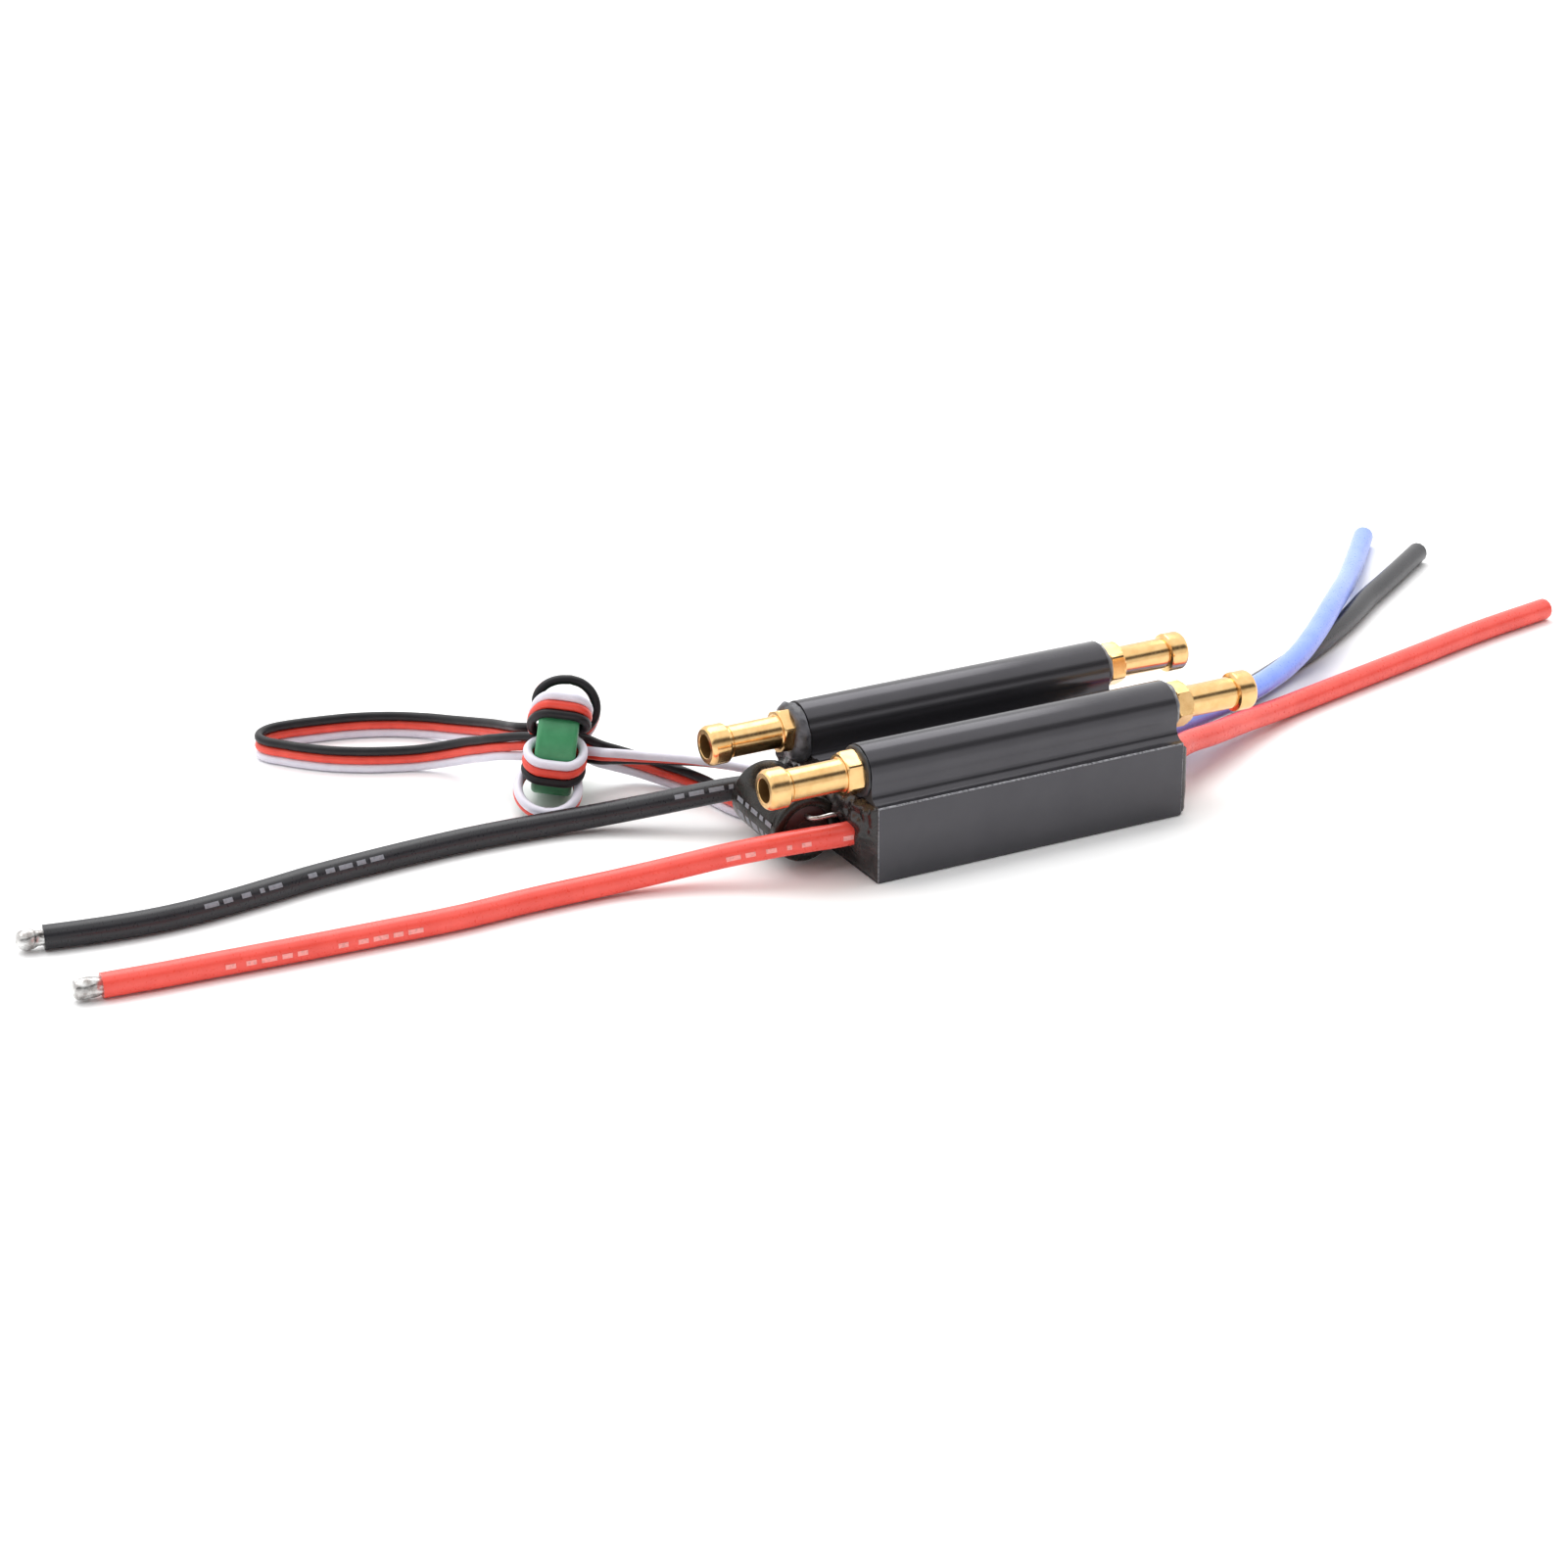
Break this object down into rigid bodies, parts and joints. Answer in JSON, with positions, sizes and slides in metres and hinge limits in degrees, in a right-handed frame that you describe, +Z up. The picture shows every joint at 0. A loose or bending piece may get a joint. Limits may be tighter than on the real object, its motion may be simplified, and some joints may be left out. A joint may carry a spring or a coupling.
{
  "type": "electronic_speed_controller",
  "caption": "Water-cooled electronic speed controller for a brushless boat motor, with brass hose nipples, silicone power wires, a capacitor, and a signal lead wound on a ferrite ring.",
  "frame": {"origin": "centre of the housing's flat underside, on the plane that the housing and its wires lie on", "axes": "+X runs along the water tubes from the battery end to the motor end, +Y to the left side where the signal lead lies, +Z up"},
  "size_m": [0.2235, 0.075, 0.0162],
  "materials": {
    "anodised_housing": "black anodised, satin",
    "nipple_brass": "bright turned",
    "sealant": "cured grey-black sealant, half gloss",
    "potting": "black potting compound, wet gloss",
    "capacitor_sleeve": "shrunk black film, half gloss",
    "bare_aluminium": "drawn, bare",
    "bung_rubber": "matt",
    "tinned_copper": "tinned, half gloss",
    "circuit_board": "green solder mask, half gloss",
    "chip_package": "moulded, matt",
    "thermal_pad": "soft, matt",
    "black_plastic": "moulded, matt",
    "red_silicone": "silicone insulation, half matt",
    "black_silicone": "silicone insulation, half matt",
    "blue_silicone": "silicone insulation, half matt",
    "ribbon_white": "PVC insulation, half gloss",
    "ribbon_red": "PVC insulation, half gloss",
    "ribbon_black": "PVC insulation, half gloss",
    "ferrite_coating": "green epoxy coat, half gloss",
    "pale_marking": "pale printed marks, matt"
  },
  "bodies": {
    "root": {"battery_end_potting": "potting", "battery_wire_black": "black_silicone", "battery_wire_red": "red_silicone", "battery_wire_tinned_end_black": "tinned_copper", "battery_wire_tinned_end_red": "tinned_copper", "board_link_header_left": "black_plastic", "board_link_header_right": "black_plastic", "capacitor_bung": "bung_rubber", "capacitor_can": "bare_aluminium", "capacitor_lead_negative": "tinned_copper", "capacitor_lead_positive": "tinned_copper", "capacitor_sleeve": "capacitor_sleeve", "control_board": "circuit_board", "ferrite_ring": "ferrite_coating", "gate_driver_1": "chip_package", "gate_driver_2": "chip_package", "gate_driver_3": "chip_package", "housing": "anodised_housing", "microcontroller": "chip_package", "mosfet_01": "chip_package", "mosfet_02": "chip_package", "mosfet_03": "chip_package", "mosfet_04": "chip_package", "mosfet_05": "chip_package", "mosfet_06": "chip_package", "mosfet_07": "chip_package", "mosfet_08": "chip_package", "mosfet_09": "chip_package", "mosfet_10": "chip_package", "mosfet_11": "chip_package", "mosfet_12": "chip_package", "motor_end_potting": "potting", "motor_wire_black": "black_silicone", "motor_wire_blue": "blue_silicone", "motor_wire_red": "red_silicone", "nipple_battery_end_left": "nipple_brass", "nipple_battery_end_right": "nipple_brass", "nipple_motor_end_left": "nipple_brass", "nipple_motor_end_right": "nipple_brass", "plug_contact_ground": "tinned_copper", "plug_contact_power": "tinned_copper", "plug_contact_signal": "tinned_copper", "plug_housing": "black_plastic", "power_board": "circuit_board", "receiver_supply_regulator": "chip_package", "sealant_battery_end_left": "sealant", "sealant_battery_end_right": "sealant", "sealant_motor_end_left": "sealant", "sealant_motor_end_right": "sealant", "signal_lead_loop": "ribbon_white", "signal_lead_to_ferrite": "ribbon_white", "signal_lead_to_plug": "ribbon_white", "signal_winding_lower": "ribbon_white", "signal_winding_upper": "ribbon_white", "thermal_pad": "thermal_pad"}
  },
  "joints": []
}
